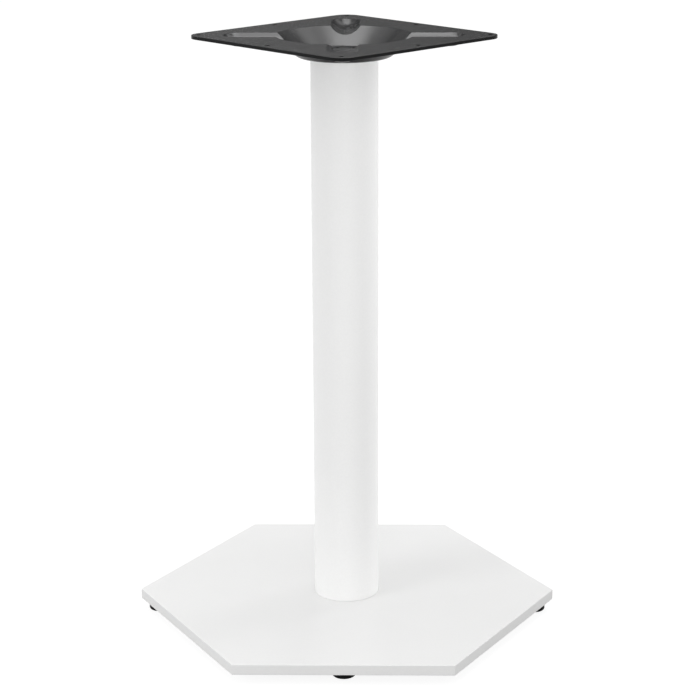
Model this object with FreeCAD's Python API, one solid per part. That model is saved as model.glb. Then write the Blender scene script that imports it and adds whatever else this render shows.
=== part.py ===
import FreeCAD, Part
import math
import os
from FreeCAD import Vector

# Pedestal table base: hexagonal steel foot plate, round column, pressed top plate.
# Millimetres, +Z up, origin on the floor under the column's axis.

# Overall
total_height = 725.0

# Foot plate
base_across_flats = 450.0
base_thickness = 13.0
base_corner_radius = 1.5
base_edge_radius = 0.8

# Glides under the foot plate, two by the side corners and two by the front and back edges
glide_height = 13.0
glide_diameter = 28.0
glide_lower_edge_radius = 2.5
glide_upper_edge_radius = 0.8
glide_corner_inset = 24.0
glide_edge_inset = 29.5
glide_recess_diameter = 11.5
glide_recess_depth = 7.0
glide_hole_roof = 3.0

# Column, a tube with a tapped flange welded into each end
column_diameter = 80.0
column_wall = 2.0
column_end_chamfer = 0.5
flange_thickness = 8.0
flange_gap = 0.1

# Pressed top plate
plate_side = 265.0
plate_corner_radius = 20.0
plate_edge_radius = 0.5
sheet = 4.0
dish_seat_margin = 13.0
dish_wall_run = 28.0
dish_depth = 21.5
dish_floor_bend = 7.0
press_bend = 1.5
channel_radius = 21.5
channel_depth = 9.5
channel_end_inset = 45.5
channel_count = 4
table_hole_diameter = 6.0
table_hole_inset = 12.0
drain_hole_diameter = 6.0
drain_column_gap = 0.2
drain_turn = 12.0

# Column screws, one set through the top plate and one through the foot plate
screw_diameter = 8.0
screw_wall_distance = 9.0
screw_count = 4
screw_turn = 45.0
screw_hole_clearance = 0.5
thread_clearance = 0.05
screw_engagement = 7.0
screw_socket_width = 5.0
screw_socket_depth = 2.6
button_head_diameter = 14.0
button_head_height = 4.4
button_crown_diameter = 7.5
washer_diameter = 17.0
washer_thickness = 1.6
countersunk_head_diameter = 16.0
countersunk_head_land = 0.5
countersunk_head_recess = 0.3

# Glide screws
glide_screw_diameter = 5.0
glide_screw_head_diameter = 9.5
glide_screw_head_height = 3.6
glide_screw_head_radius = 1.8
glide_screw_tip_gap = 1.0
cross_slot_width = 1.3
cross_slot_length = 5.2
cross_slot_depth = 1.9

# Overrun of a cutting tool past the face it cuts
overrun = 1.0

# Heights and radii that follow from the sizes above
base_bottom = glide_height
base_top = base_bottom + base_thickness
plate_top = total_height
dish_floor = plate_top - dish_depth
dish_bottom = dish_floor - sheet
column_radius = column_diameter / 2
column_bore_radius = column_radius - column_wall
flange_radius = column_bore_radius - flange_gap
screw_circle_radius = column_bore_radius - screw_wall_distance
clearance_radius = screw_diameter / 2 + screw_hole_clearance
thread_radius = screw_diameter / 2 + thread_clearance
head_low = base_bottom + countersunk_head_recess
head_land = head_low + countersunk_head_land
base_corner_reach = base_across_flats / math.sqrt(3)
glide_hole_top = base_top - glide_hole_roof
dish_floor_radius = column_radius + dish_seat_margin
dish_rim_radius = dish_floor_radius + dish_wall_run
channel_reach = plate_side / math.sqrt(2) - channel_end_inset
up = Vector(0, 0, 1)
centre = Vector(0, 0, 0)


def cylinder(radius, bottom, top, at=centre):
    return Part.makeCylinder(radius, top - bottom, Vector(at.x, at.y, bottom), up)


def ring(outer_radius, inner_radius, bottom, top, at=centre):
    bore = cylinder(inner_radius, bottom - overrun, top + overrun, at)
    return cylinder(outer_radius, bottom, top, at).cut(bore)


def on_circle(radius, count, start=0.0):
    turns = [start + 2 * math.pi * i / count for i in range(count)]
    return [Vector(radius * math.cos(a), radius * math.sin(a), 0) for a in turns]


def prism(reach, count, bottom, top, at=centre):
    # Upright prism on a regular polygon, with its first corner towards +X.
    lift = Vector(at.x, at.y, bottom)
    corners = [corner + lift for corner in on_circle(reach, count)]
    outline = Part.makePolygon(corners + corners[:1])
    return Part.Face(outline).extrude(up * (top - bottom))


def revolve(edges):
    return Part.Face(Part.Wire(edges)).revolve(centre, up, 360)


def turned(points):
    # Solid turned about the Z axis from an outline of (radius, height) corners.
    corners = [Vector(r, 0, z) for r, z in points]
    return revolve(Part.makePolygon(corners + corners[:1]).Edges)


def line(a, b):
    return Part.LineSegment(a, b).toShape()


def arc(a, through, b):
    return Part.Arc(a, through, b).toShape()


def upright_edges(solid):
    return [e for e in solid.Edges if e.BoundBox.ZLength > 1e-6]


def level_edges(solid, height):
    flat = [e for e in solid.Edges if e.BoundBox.ZLength < 1e-6]
    return [e for e in flat if abs(e.BoundBox.ZMin - height) < 1e-6]


# Places shared by pieces that meet
screw_places = on_circle(screw_circle_radius, screw_count, math.radians(screw_turn))
glide_places = {
    "glide_right": Vector(base_corner_reach - glide_corner_inset, 0, 0),
    "glide_back": Vector(0, base_across_flats / 2 - glide_edge_inset, 0),
    "glide_left": Vector(glide_corner_inset - base_corner_reach, 0, 0),
    "glide_front": Vector(0, glide_edge_inset - base_across_flats / 2, 0),
}
table_hole_reach = plate_side / 2 - table_hole_inset
table_hole_places = on_circle(table_hole_reach * math.sqrt(2), 4)
table_hole_places += on_circle(table_hole_reach, 4, math.pi / 4)
# Drain holes in the dish's floor, just outside the column, one on each side of every channel's middle
drain_reach = column_radius + drain_column_gap + drain_hole_diameter / 2
drain_places = on_circle(drain_reach, channel_count, math.radians(drain_turn))
drain_places += on_circle(drain_reach, channel_count, -math.radians(drain_turn))


def countersunk_hole(place):
    # Clearance hole with a right-angled cone that the screw's head seats on.
    head_radius = countersunk_head_diameter / 2
    mouth = base_bottom - overrun
    neck = head_land + head_radius - clearance_radius
    mouth_radius = head_radius + head_land - mouth
    cone = turned([(0, mouth), (mouth_radius, mouth), (clearance_radius, neck), (0, neck)])
    cone.translate(place)
    return cone.fuse(cylinder(clearance_radius, mouth, base_top + overrun, place))


def base_plate():
    plate = prism(base_corner_reach, 6, base_bottom, base_top)
    plate = plate.makeFillet(base_corner_radius, upright_edges(plate))
    rim = level_edges(plate, base_bottom) + level_edges(plate, base_top)
    plate = plate.makeFillet(base_edge_radius, rim)
    tap_radius = glide_screw_diameter / 2 + thread_clearance
    tools = [countersunk_hole(place) for place in screw_places]
    for place in glide_places.values():
        tools.append(cylinder(tap_radius, base_bottom - overrun, glide_hole_top, place))
    return plate.cut(tools)


def column_tube():
    tube = ring(column_radius, column_bore_radius, base_top, dish_bottom)
    rims = level_edges(tube, base_top) + level_edges(tube, dish_bottom)
    outer = [e for e in rims if abs(e.Curve.Radius - column_radius) < 1e-6]
    return tube.makeChamfer(column_end_chamfer, outer)


def column_flange(bottom):
    disc = cylinder(flange_radius, bottom, bottom + flange_thickness)
    low = bottom - overrun
    high = bottom + flange_thickness + overrun
    return disc.cut([cylinder(thread_radius, low, high, place) for place in screw_places])


def dish(offset):
    # Conical pressing with a flat floor, its wall moved outwards by the offset.
    slope = math.atan2(dish_depth, dish_rim_radius - dish_floor_radius)
    out = Vector(math.sin(slope), 0, -math.cos(slope)) * offset
    wall = Vector(math.cos(slope), 0, math.sin(slope))
    floor_height = dish_floor - offset
    rim = Vector(dish_rim_radius, 0, plate_top) + out
    corner = rim - wall * ((rim.z - floor_height) / wall.z)
    bend = dish_floor_bend + offset
    reach = bend * math.tan(slope / 2)
    floor_end = corner - Vector(reach, 0, 0)
    wall_start = corner + wall * reach
    bend_centre = floor_end + up * bend
    bend_middle = bend_centre + Vector(math.sin(slope / 2), 0, -math.cos(slope / 2)) * bend
    wall_end = rim + wall * ((plate_top + overrun - rim.z) / wall.z)
    axis_low = Vector(0, 0, floor_height)
    axis_high = Vector(0, 0, wall_end.z)
    return revolve([
        line(axis_low, floor_end),
        arc(floor_end, bend_middle, wall_start),
        line(wall_start, wall_end),
        line(wall_end, axis_high),
        line(axis_high, axis_low),
    ])


def channel(offset, turn):
    # Round-bottomed trough with a ball end, running out from the dish.
    radius = channel_radius + offset
    axis_height = plate_top + channel_radius - channel_depth
    half_width = math.sqrt(channel_radius ** 2 - (channel_radius - channel_depth) ** 2)
    ball = channel_reach - half_width
    start = Vector(0, 0, axis_height)
    side = start - up * radius
    ball_low = side + Vector(ball, 0, 0)
    ball_middle = Vector(ball + radius * math.sqrt(0.5), 0, axis_height - radius * math.sqrt(0.5))
    tip = Vector(ball + radius, 0, axis_height)
    outline = Part.Wire([
        line(start, side),
        line(side, ball_low),
        arc(ball_low, ball_middle, tip),
        line(tip, start),
    ])
    trough = Part.Face(outline).revolve(start, Vector(1, 0, 0), 360)
    trough.rotate(centre, up, math.degrees(turn))
    return trough


def pressing(offset):
    turns = [2 * math.pi * i / channel_count for i in range(channel_count)]
    return dish(offset).fuse([channel(offset, turn) for turn in turns])


def top_plate():
    blank = prism(plate_side / math.sqrt(2), 4, plate_top - sheet, plate_top)
    blank = blank.makeFillet(plate_corner_radius, upright_edges(blank))
    rim = level_edges(blank, plate_top) + level_edges(blank, plate_top - sheet)
    blank = blank.makeFillet(plate_edge_radius, rim)
    below = cylinder(plate_side, dish_bottom - overrun, plate_top - sheet / 2)
    plate = blank.fuse(pressing(sheet).common(below)).cut(pressing(0.0)).removeSplitter()
    # The top side's edges round the dish and the channels are the outside of a bend.
    pressed = [e for e in plate.Edges if is_press_edge(e)]
    plate = plate.makeFillet(press_bend, pressed)
    hole_radius = table_hole_diameter / 2
    hole_low = plate_top - sheet - overrun
    tools = [cylinder(hole_radius, hole_low, plate_top + overrun, place) for place in table_hole_places]
    floor_low = dish_bottom - overrun
    floor_high = dish_floor + overrun
    for place in screw_places:
        tools.append(cylinder(clearance_radius, floor_low, floor_high, place))
    for place in drain_places:
        tools.append(cylinder(drain_hole_diameter / 2, floor_low, floor_high, place))
    return plate.cut(tools)


def is_press_edge(edge):
    # True on the top face's inner outline and where a channel breaks through the dish's wall.
    box = edge.BoundBox
    touches_top = abs(box.ZMax - plate_top) < 1e-6
    reach = max(math.hypot(v.X, v.Y) for v in edge.Vertexes)
    if box.ZLength < 1e-6:
        return touches_top and reach < channel_reach + overrun
    middle = edge.valueAt((edge.FirstParameter + edge.LastParameter) / 2)
    in_wall = dish_floor_radius < math.hypot(middle.x, middle.y) < dish_rim_radius
    return box.ZMin > dish_floor and in_wall


def hex_socket(bottom, top, at):
    return prism(screw_socket_width / math.sqrt(3), 6, bottom, top, at)


def top_plate_screw(place):
    seat = dish_floor + washer_thickness
    crown = seat + button_head_height
    head_radius = button_head_diameter / 2
    crown_radius = button_crown_diameter / 2
    shank_radius = screw_diameter / 2
    tip = dish_bottom - screw_engagement
    bulge = math.sqrt(0.5)
    shoulder = Vector(
        crown_radius + (head_radius - crown_radius) * bulge, 0, seat + button_head_height * bulge)
    screw = revolve([
        line(Vector(0, 0, tip), Vector(shank_radius, 0, tip)),
        line(Vector(shank_radius, 0, tip), Vector(shank_radius, 0, seat)),
        line(Vector(shank_radius, 0, seat), Vector(head_radius, 0, seat)),
        arc(Vector(head_radius, 0, seat), shoulder, Vector(crown_radius, 0, crown)),
        line(Vector(crown_radius, 0, crown), Vector(0, 0, crown)),
        line(Vector(0, 0, crown), Vector(0, 0, tip)),
    ])
    screw.translate(place)
    return screw.cut(hex_socket(crown - screw_socket_depth, crown + overrun, place))


def top_plate_washer(place):
    return ring(washer_diameter / 2, clearance_radius, dish_floor, dish_floor + washer_thickness, place)


def base_plate_screw(place):
    shank_radius = screw_diameter / 2
    head_radius = countersunk_head_diameter / 2
    tip = base_top + screw_engagement
    screw = turned([
        (0, head_low),
        (head_radius, head_low),
        (head_radius, head_land),
        (shank_radius, head_land + head_radius - shank_radius),
        (shank_radius, tip),
        (0, tip),
    ])
    screw.translate(place)
    return screw.cut(hex_socket(head_low - overrun, head_low + screw_socket_depth, place))


def glide(place):
    pad = cylinder(glide_diameter / 2, 0, glide_height, place)
    pad = pad.makeFillet(glide_lower_edge_radius, level_edges(pad, 0))
    pad = pad.makeFillet(glide_upper_edge_radius, level_edges(pad, glide_height))
    recess = cylinder(glide_recess_diameter / 2, -overrun, glide_recess_depth, place)
    hole_radius = glide_screw_diameter / 2 + screw_hole_clearance
    hole = cylinder(hole_radius, -overrun, glide_height + overrun, place)
    return pad.cut([recess, hole])


def glide_screw(place):
    low = glide_recess_depth - glide_screw_head_height
    tip = glide_hole_top - glide_screw_tip_gap
    head = cylinder(glide_screw_head_diameter / 2, low, glide_recess_depth, place)
    head = head.makeFillet(glide_screw_head_radius, level_edges(head, low))
    shank = cylinder(glide_screw_diameter / 2, low, tip, place)
    corner = Vector(place.x - cross_slot_length / 2, place.y - cross_slot_width / 2, low - overrun)
    slot = Part.makeBox(cross_slot_length, cross_slot_width, cross_slot_depth + overrun, corner)
    crossing = slot.copy()
    crossing.rotate(place, up, 90)
    return head.fuse(shank).removeSplitter().cut([slot, crossing])


def group(make_one, places):
    return Part.makeCompound([make_one(place) for place in places])


nodes = {
    "base_plate": base_plate(),
    "column_tube": column_tube(),
    "column_foot_flange": column_flange(base_top),
    "column_head_flange": column_flange(dish_bottom - flange_thickness),
    "top_plate": top_plate(),
    "top_plate_screws": group(top_plate_screw, screw_places),
    "top_plate_washers": group(top_plate_washer, screw_places),
    "base_plate_screws": group(base_plate_screw, screw_places),
    "glide_screws": group(glide_screw, glide_places.values()),
}
for name, place in glide_places.items():
    nodes[name] = glide(place)

os.makedirs("parts", exist_ok=True)
for name, shape in nodes.items():
    shape.exportStep("parts/" + name + ".step")
    print(name, "solids", len(shape.Solids), "valid", shape.isValid(), "volume", round(shape.Volume, 1))
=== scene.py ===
import math

import bpy
from mathutils import Euler, Matrix, Vector

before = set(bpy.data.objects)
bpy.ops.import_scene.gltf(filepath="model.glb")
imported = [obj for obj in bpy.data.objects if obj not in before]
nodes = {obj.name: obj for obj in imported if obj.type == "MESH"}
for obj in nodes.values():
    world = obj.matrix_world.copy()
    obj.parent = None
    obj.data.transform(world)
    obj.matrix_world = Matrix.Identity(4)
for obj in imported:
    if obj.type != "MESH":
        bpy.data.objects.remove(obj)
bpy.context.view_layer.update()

scene = bpy.context.scene
print("frame loaded:", len(nodes), "nodes")


# Small helpers for node trees

def addNode(tree, kind, settings=None, **inputs):
    node = tree.nodes.new(kind)
    for name, value in (settings or {}).items():
        setattr(node, name, value)
    for name, value in inputs.items():
        node.inputs[name.replace("_", " ")].default_value = value
    return node


def link(tree, source, target):
    tree.links.new(source, target)


def newGroup(name, inputs, outputs):
    # inputs are (name, default) pairs, outputs are plain names
    group = bpy.data.node_groups.new(name, "ShaderNodeTree")
    for label, default in inputs:
        socket = group.interface.new_socket(label, in_out="INPUT", socket_type="NodeSocketFloat")
        socket.default_value = default
    for label in outputs:
        group.interface.new_socket(label, in_out="OUTPUT", socket_type="NodeSocketFloat")
    return group, group.nodes.new("NodeGroupInput"), group.nodes.new("NodeGroupOutput")


def useGroup(tree, group, **values):
    node = tree.nodes.new("ShaderNodeGroup")
    node.node_tree = group
    for name, value in values.items():
        node.inputs[name.replace("_", " ")].default_value = value
    return node


def noise(tree, place, frequency, detail=2.0):
    # frequency is a socket or a number of bumps per metre
    node = addNode(tree, "ShaderNodeTexNoise", Detail=detail)
    link(tree, place, node.inputs["Vector"])
    if isinstance(frequency, (int, float)):
        node.inputs["Scale"].default_value = frequency
    else:
        link(tree, frequency, node.inputs["Scale"])
    return node.outputs["Fac"]


def maths(tree, operation, first, second):
    node = addNode(tree, "ShaderNodeMath", {"operation": operation})
    for socket, value in zip(node.inputs, (first, second)):
        if isinstance(value, (int, float)):
            socket.default_value = value
        else:
            link(tree, value, socket)
    return node.outputs["Value"]


noiseBand = (0.3, 0.7)                 # where most of a noise texture's values lie


def spread(tree, value, low, high):
    # stretches the noise band to low..high
    node = addNode(tree, "ShaderNodeMapRange", From_Min=noiseBand[0], From_Max=noiseBand[1],
                   To_Min=low, To_Max=high)
    link(tree, value, node.inputs["Value"])
    return node.outputs["Result"]


# Shared surface effects

powderWaves = {
    "cloudPerMetre": 14.0,             # slow change of tone
    "glossPerMetre": 120.0,            # patches a little duller or brighter
}


def buildPowderSkin():
    # melted powder: broad orange peel with a finer grain on it
    inputs = [("Peel Per Metre", 450.0), ("Grain Per Metre", 1800.0), ("Grain Share", 0.3)]
    tree, given, result = newGroup("powderSkin", inputs, ["Height", "Cloud", "Gloss"])
    place = tree.nodes.new("ShaderNodeTexCoord").outputs["Object"]
    peel = noise(tree, place, given.outputs["Peel Per Metre"])
    grain = noise(tree, place, given.outputs["Grain Per Metre"], 3.0)
    grainPart = maths(tree, "MULTIPLY", grain, given.outputs["Grain Share"])
    link(tree, maths(tree, "ADD", peel, grainPart), result.inputs["Height"])
    link(tree, noise(tree, place, powderWaves["cloudPerMetre"], 3.0), result.inputs["Cloud"])
    link(tree, noise(tree, place, powderWaves["glossPerMetre"], 4.0), result.inputs["Gloss"])
    return tree


wipeMarks = {
    "stretch": (1.0, 14.0, 1.0),       # squeezes the noise into hairlines
    "slant": (0.3, 0.2, 0.7),
    "hairlineFrom": 0.68,              # higher leaves fewer hairlines
    "hairlineShare": 0.4,
}


def buildHandMarks():
    # wiped patches crossed by a few hairlines, all of it only just there
    inputs = [("Patch Per Metre", 22.0), ("Hairline Per Metre", 60.0)]
    tree, given, result = newGroup("handMarks", inputs, ["Mask"])
    place = tree.nodes.new("ShaderNodeTexCoord").outputs["Object"]
    patch = spread(tree, noise(tree, place, given.outputs["Patch Per Metre"], 5.0), 0.0, 1.0)
    slant = addNode(tree, "ShaderNodeMapping", Scale=wipeMarks["stretch"], Rotation=wipeMarks["slant"])
    link(tree, place, slant.inputs["Vector"])
    hair = noise(tree, slant.outputs["Vector"], given.outputs["Hairline Per Metre"], 6.0)
    hairline = maths(tree, "GREATER_THAN", hair, wipeMarks["hairlineFrom"])
    hairlinePart = maths(tree, "MULTIPLY", hairline, wipeMarks["hairlineShare"])
    link(tree, maths(tree, "ADD", patch, hairlinePart), result.inputs["Mask"])
    return tree


turningLines = {
    "stretch": (0.12, 0.12, 1.0),      # long across, close together along the screw
}


def buildMachinedGrain():
    # fine turning lines and drawn streaks of bar-turned screws and stamped washers
    inputs = [("Line Per Metre", 5200.0), ("Streak Per Metre", 900.0)]
    tree, given, result = newGroup("machinedGrain", inputs, ["Height", "Streak"])
    place = tree.nodes.new("ShaderNodeTexCoord").outputs["Object"]
    flatten = addNode(tree, "ShaderNodeMapping", Scale=turningLines["stretch"])
    link(tree, place, flatten.inputs["Vector"])
    lines = noise(tree, flatten.outputs["Vector"], given.outputs["Line Per Metre"], 3.0)
    streak = noise(tree, place, given.outputs["Streak Per Metre"], 4.0)
    link(tree, lines, result.inputs["Height"])
    link(tree, streak, result.inputs["Streak"])
    return tree


powderSkin = buildPowderSkin()
handMarks = buildHandMarks()
machinedGrain = buildMachinedGrain()
print("surface effects ready")


# Materials

def newMaterial(name):
    material = bpy.data.materials.new(name)
    material.use_nodes = True
    tree = material.node_tree
    return material, tree, tree.nodes["Principled BSDF"]


def blendColour(tree, factor, first, second):
    node = addNode(tree, "ShaderNodeMix", {"data_type": "RGBA"})
    pair, mixed = node.inputs[6:8], node.outputs[2]    # the colour sockets among those of all kinds
    for socket, colour in zip(pair, (first, second)):
        socket.default_value = (*colour, 1.0)
    link(tree, factor, node.inputs["Factor"])
    return mixed


def bumpFrom(tree, height, depth, target):
    bump = addNode(tree, "ShaderNodeBump", Strength=1.0, Distance=depth)
    link(tree, height, bump.inputs["Height"])
    link(tree, bump.outputs["Normal"], target)


whiteCoat = {
    "thin": (0.842, 0.842, 0.839),     # where the coat clouds and speckles darker
    "full": (0.872, 0.872, 0.868),
    "satin": (0.30, 0.40),             # roughness range
    "specular": 0.5,
    "peel": 420.0,                     # bumps per metre
    "grain": 1500.0,
    "grainShare": 0.12,
    "depth": 0.00003,
}

blackCoat = {
    "thin": (0.008, 0.008, 0.0083),
    "full": (0.012, 0.012, 0.0124),
    "satin": (0.19, 0.25),
    "specular": 0.07,
    "peel": 520.0,
    "grain": 1900.0,
    "grainShare": 0.4,
    "depth": 0.00010,
}

coatMix = {
    "speckle": 0.6,                    # share of the fine height in the tone
    "cloud": 0.35,                     # share of the slow clouding
    "wiped": 0.03,                     # roughness that the hand marks add
}


def powderMaterial(name, look):
    material, tree, shader = newMaterial(name)
    skin = useGroup(tree, powderSkin, Peel_Per_Metre=look["peel"], Grain_Per_Metre=look["grain"],
                    Grain_Share=look["grainShare"])
    marks = useGroup(tree, handMarks)
    shader.inputs["Specular IOR Level"].default_value = look["specular"]
    speckle = maths(tree, "MULTIPLY", skin.outputs["Height"], coatMix["speckle"])
    cloud = maths(tree, "MULTIPLY", skin.outputs["Cloud"], coatMix["cloud"])
    tone = spread(tree, maths(tree, "ADD", speckle, cloud), 0.0, 1.0)
    link(tree, blendColour(tree, tone, look["thin"], look["full"]), shader.inputs["Base Color"])
    wiped = maths(tree, "MULTIPLY", marks.outputs["Mask"], coatMix["wiped"])
    gloss = spread(tree, skin.outputs["Gloss"], *look["satin"])
    link(tree, maths(tree, "ADD", gloss, wiped), shader.inputs["Roughness"])
    bumpFrom(tree, skin.outputs["Height"], look["depth"], shader.inputs["Normal"])
    return material


blackenedSteel = {
    "dark": (0.030, 0.030, 0.032),
    "worn": (0.085, 0.085, 0.088),
    "satin": (0.32, 0.46),
    "depth": 0.000008,
}

zincSteel = {
    "dark": (0.50, 0.51, 0.53),
    "worn": (0.68, 0.69, 0.70),
    "satin": (0.24, 0.38),
    "depth": 0.000008,
}


def steelMaterial(name, look):
    material, tree, shader = newMaterial(name)
    shader.inputs["Metallic"].default_value = 1.0
    machined = useGroup(tree, machinedGrain)
    streak = spread(tree, machined.outputs["Streak"], 0.0, 1.0)
    link(tree, blendColour(tree, streak, look["dark"], look["worn"]), shader.inputs["Base Color"])
    link(tree, spread(tree, machined.outputs["Streak"], *look["satin"]), shader.inputs["Roughness"])
    bumpFrom(tree, machined.outputs["Height"], look["depth"], shader.inputs["Normal"])
    return material


glidePlastic = {
    "dark": (0.003, 0.003, 0.0032),
    "rubbed": (0.006, 0.006, 0.0062),
    "satin": (0.48, 0.60),
    "specular": 0.08,
    "sparkPerMetre": 3500.0,           # eroded mould texture
    "patchPerMetre": 150.0,
    "hairlinePerMetre": 240.0,
    "depth": 0.00002,
}


def plasticMaterial(name, look):
    material, tree, shader = newMaterial(name)
    place = tree.nodes.new("ShaderNodeTexCoord").outputs["Object"]
    spark = noise(tree, place, look["sparkPerMetre"], 3.0)
    marks = useGroup(tree, handMarks, Patch_Per_Metre=look["patchPerMetre"],
                     Hairline_Per_Metre=look["hairlinePerMetre"])
    colour = blendColour(tree, marks.outputs["Mask"], look["dark"], look["rubbed"])
    link(tree, colour, shader.inputs["Base Color"])
    shader.inputs["Specular IOR Level"].default_value = look["specular"]
    link(tree, spread(tree, spark, *look["satin"]), shader.inputs["Roughness"])
    bumpFrom(tree, spark, look["depth"], shader.inputs["Normal"])
    return material


finishes = {
    "white_coat": powderMaterial("whiteCoat", whiteCoat),
    "black_coat": powderMaterial("blackCoat", blackCoat),
    "black_steel": steelMaterial("blackenedSteel", blackenedSteel),
    "zinc_steel": steelMaterial("zincSteel", zincSteel),
    "black_plastic": plasticMaterial("glidePlastic", glidePlastic),
}

for node in nodes.values():
    for place in node.material_slots:
        place.material = finishes[place.material.name]
print("finishes on", len(nodes), "nodes")


# Floor, world, lights

studio = {
    "floorSize": 60.0,
    "floorGlow": 0.90,                 # seen directly and in reflections
    "floorShade": 0.20,                # share of the floor that still takes the shadow
    "floorBounce": 0.30,               # what the floor sends back to the object
    "skyFill": 0.63,                   # even light from all sides
}


def lightPathMask(tree):
    # rays that should see the plain white backdrop
    path = tree.nodes.new("ShaderNodeLightPath")
    seen = maths(tree, "MAXIMUM", path.outputs["Is Camera Ray"], path.outputs["Is Glossy Ray"])
    return maths(tree, "MAXIMUM", seen, path.outputs["Is Transmission Ray"])


def buildSheet(name, wide, high):
    # a flat rectangle with an empty node material; returns the object and the tree
    halfWide, halfHigh = wide / 2, high / 2
    corners = [(-halfWide, -halfHigh, 0.0), (halfWide, -halfHigh, 0.0)]
    corners += [(halfWide, halfHigh, 0.0), (-halfWide, halfHigh, 0.0)]
    mesh = bpy.data.meshes.new(name)
    mesh.from_pydata(corners, [], [(0, 1, 2, 3)])
    sheet = bpy.data.objects.new(name, mesh)
    scene.collection.objects.link(sheet)
    material = bpy.data.materials.new(name)
    material.use_nodes = True
    material.node_tree.nodes.clear()
    mesh.materials.append(material)
    return sheet, material.node_tree


def greyDiffuse(tree, level):
    return addNode(tree, "ShaderNodeBsdfDiffuse", Color=(level, level, level, 1.0))


def buildFloor():
    tree = buildSheet("floor", studio["floorSize"], studio["floorSize"])[1]
    glow = addNode(tree, "ShaderNodeEmission", Strength=studio["floorGlow"])
    shade = greyDiffuse(tree, studio["floorShade"])
    bounce = greyDiffuse(tree, studio["floorBounce"])
    seen = tree.nodes.new("ShaderNodeAddShader")
    mix = tree.nodes.new("ShaderNodeMixShader")
    output = tree.nodes.new("ShaderNodeOutputMaterial")
    link(tree, glow.outputs[0], seen.inputs[0])
    link(tree, shade.outputs[0], seen.inputs[1])
    link(tree, lightPathMask(tree), mix.inputs[0])
    link(tree, bounce.outputs[0], mix.inputs[1])
    link(tree, seen.outputs[0], mix.inputs[2])
    link(tree, mix.outputs[0], output.inputs["Surface"])


def buildSky():
    world = bpy.data.worlds.new("studioWhite")
    world.use_nodes = True
    tree = world.node_tree
    tree.nodes.clear()
    white = (1.0, 1.0, 1.0, 1.0)
    seen = addNode(tree, "ShaderNodeBackground", Strength=1.0, Color=white)
    fill = addNode(tree, "ShaderNodeBackground", Strength=studio["skyFill"], Color=white)
    mix = tree.nodes.new("ShaderNodeMixShader")
    output = tree.nodes.new("ShaderNodeOutputWorld")
    link(tree, lightPathMask(tree), mix.inputs[0])
    link(tree, fill.outputs[0], mix.inputs[1])
    link(tree, seen.outputs[0], mix.inputs[2])
    link(tree, mix.outputs[0], output.inputs["Surface"])
    scene.world = world


# Lamps light surfaces and aren't mirrored. One with "only" lights that piece alone.
softboxes = {
    "overheadBox": {"at": (0.0, 0.0, 2.60), "aim": (0.0, 0.0, 0.0), "size": (1.6, 1.6), "power": 19.6},
    "leftBox": {"at": (-1.15, -0.75, 0.68), "aim": (0.0, 0.0, 0.62), "size": (0.5, 0.5), "power": 4.2},
    "leftColumnBox": {"at": (-1.15, -0.75, 0.68), "aim": (0.0, 0.0, 0.62), "size": (0.5, 0.5), "power": 3.2,
                      "only": "column_tube"},
    "rightBox": {"at": (0.80, -0.55, 0.72), "aim": (0.0, 0.0, 0.64), "size": (0.35, 0.35), "power": 3.5,
                 "only": "column_tube"},
    "frontBox": {"at": (0.40, -2.70, 0.65), "aim": (0.0, 0.0, 0.55), "size": (1.4, 1.0), "power": 9.8},
    "leftRearBox": {"at": (-2.30, 0.60, 0.65), "aim": (0.0, 0.0, 0.50), "size": (1.0, 1.4), "power": 3.7},
    "rightRearBox": {"at": (2.00, 1.60, 0.65), "aim": (0.0, 0.0, 0.50), "size": (0.8, 1.2), "power": 13.0},
    "rearBox": {"at": (0.10, 0.90, 0.60), "aim": (0.0, 0.10, 0.05), "size": (0.6, 0.3), "power": 1.6},
    "footBox": {"at": (0.10, -1.80, 0.50), "aim": (0.0, 0.0, 0.0), "size": (0.8, 0.4), "power": 3.4,
                "only": "base_plate"},
}


def lightOnly(emitter, node):
    # keeps an emitter's light off every piece but one, as a flag on a stand would
    lit = bpy.data.collections.new(emitter.name + "Lit")
    lit.objects.link(nodes[node])
    emitter.light_linking.receiver_collection = lit


def buildLights():
    for name, box in softboxes.items():
        light = bpy.data.lights.new(name, "AREA")
        light.shape = "RECTANGLE"
        light.size, light.size_y = box["size"]
        light.energy = box["power"]
        lamp = bpy.data.objects.new(name, light)
        lamp.location = box["at"]
        beam = Vector(box["aim"]) - Vector(box["at"])
        lamp.rotation_euler = beam.to_track_quat("-Z", "Y").to_euler()
        lamp.visible_camera = lamp.visible_glossy = False
        scene.collection.objects.link(lamp)
        if "only" in box:
            lightOnly(lamp, box["only"])


def buildCard(name, look):
    # a sheet of light that shows in reflections only; returns it, its tree, its place and its emission node
    card, tree = buildSheet(name, *look["size"])
    card.location = look["at"]
    card.visible_camera = card.visible_diffuse = card.visible_shadow = False
    place = tree.nodes.new("ShaderNodeTexCoord").outputs["Object"]
    glow = tree.nodes.new("ShaderNodeEmission")
    return card, tree, place, glow


rearCard = {
    "at": (0.0, 2.4, 1.15),            # stands behind the part, above the picture
    "tilt": 90.0,
    "size": (4.0, 1.5),
    "glow": (0.35, 0.16),              # left to right: the level black sheet mirrors this grey
    "fade": 0.9,                       # width of the change between the two
}


def buildRearCard():
    card, tree, place, glow = buildCard("rearCard", rearCard)
    card.rotation_euler.x = math.radians(rearCard["tilt"])
    axes = tree.nodes.new("ShaderNodeSeparateXYZ")
    link(tree, place, axes.inputs["Vector"])
    halfFade = rearCard["fade"] / 2
    level = addNode(tree, "ShaderNodeMapRange", From_Min=-halfFade, From_Max=halfFade,
                    To_Min=rearCard["glow"][0], To_Max=rearCard["glow"][1])
    link(tree, axes.outputs["X"], level.inputs["Value"])
    link(tree, level.outputs["Result"], glow.inputs["Strength"])
    output = tree.nodes.new("ShaderNodeOutputMaterial")
    link(tree, glow.outputs[0], output.inputs["Surface"])


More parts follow.
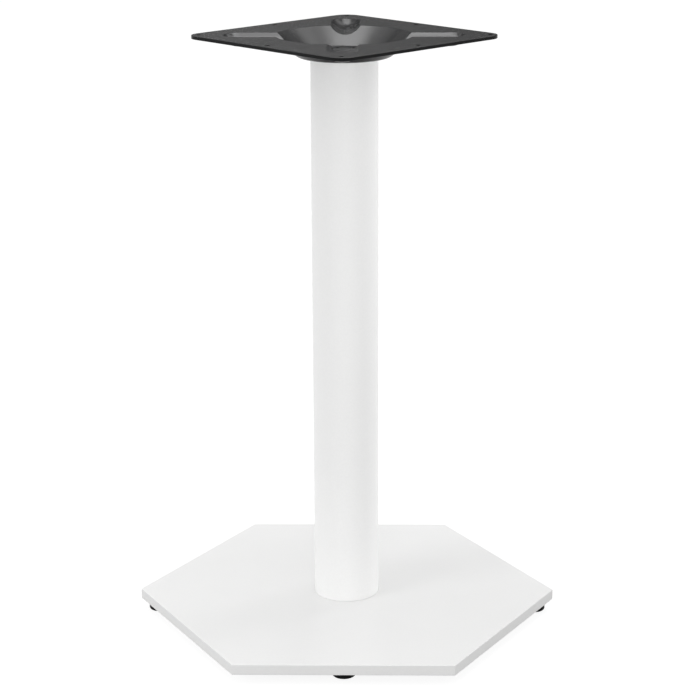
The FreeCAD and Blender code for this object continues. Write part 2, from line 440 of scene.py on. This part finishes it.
# These hang over the part at slightly different heights, for the walls of the dish and the channels.
# They are sheer, so where they overlap their light adds up. Core is the share of the way out that
# keeps the full glow.
topCards = {
    "topCard": {"at": (-0.055, -0.10, 1.45), "size": (0.69, 1.20), "glow": 30.5, "core": 0.55},
    "topFrontCard": {"at": (0.22, -0.34, 1.46), "size": (0.80, 0.80), "glow": 24.0, "core": 0.3},
    "topLeftCard": {"at": (-0.48, 0.36, 1.47), "size": (1.10, 0.80), "glow": 4.5, "core": 0.3},
    "topRightCard": {"at": (0.60, 0.36, 1.48), "size": (1.60, 0.90), "glow": 10.0, "core": 0.3},
}


def buildTopCards():
    for name, look in topCards.items():
        card, tree, place, glow = buildCard(name, look)
        lightOnly(card, "top_plate")
        wide, high = look["size"]
        shrink = addNode(tree, "ShaderNodeMapping", Scale=(2 / wide, 2 / high, 1.0))
        link(tree, place, shrink.inputs["Vector"])
        ball = addNode(tree, "ShaderNodeTexGradient", {"gradient_type": "SPHERICAL"})
        link(tree, shrink.outputs["Vector"], ball.inputs["Vector"])
        level = addNode(tree, "ShaderNodeMapRange", {"interpolation_type": "SMOOTHSTEP"},
                        From_Min=0.0, From_Max=1.0 - look["core"], To_Min=0.0, To_Max=look["glow"])
        link(tree, ball.outputs["Fac"], level.inputs["Value"])
        link(tree, level.outputs["Result"], glow.inputs["Strength"])
        clear = tree.nodes.new("ShaderNodeBsdfTransparent")
        sheer = tree.nodes.new("ShaderNodeAddShader")
        output = tree.nodes.new("ShaderNodeOutputMaterial")
        link(tree, glow.outputs[0], sheer.inputs[0])
        link(tree, clear.outputs[0], sheer.inputs[1])
        link(tree, sheer.outputs[0], output.inputs["Surface"])


buildFloor()
buildSky()
buildLights()
buildRearCard()
buildTopCards()
print("studio lit by", len(softboxes), "softboxes, mirrored cards:", 1 + len(topCards))


# Camera, placed from the corners of the foot plate and the top plate

viewpoint = {
    "at": (0.04733, -2.46135, 1.07097),
    "down": 16.523,                    # degrees below the horizon
    "turn": 0.978,                     # degrees to the left
    "roll": -0.228,
    "lens": 108.23,
    "sensor": 36.0,
}


def buildCamera():
    data = bpy.data.cameras.new("photoView")
    data.sensor_width = viewpoint["sensor"]
    data.lens = viewpoint["lens"]
    camera = bpy.data.objects.new("photoView", data)
    camera.location = viewpoint["at"]
    tilt = Euler((math.radians(90.0 - viewpoint["down"]), 0.0, math.radians(viewpoint["turn"])))
    roll = Matrix.Rotation(math.radians(viewpoint["roll"]), 3, "Z")
    camera.rotation_euler = (tilt.to_matrix() @ roll).to_euler()
    scene.collection.objects.link(camera)
    scene.camera = camera


buildCamera()
scene.view_settings.view_transform = "Standard"
print("camera set")
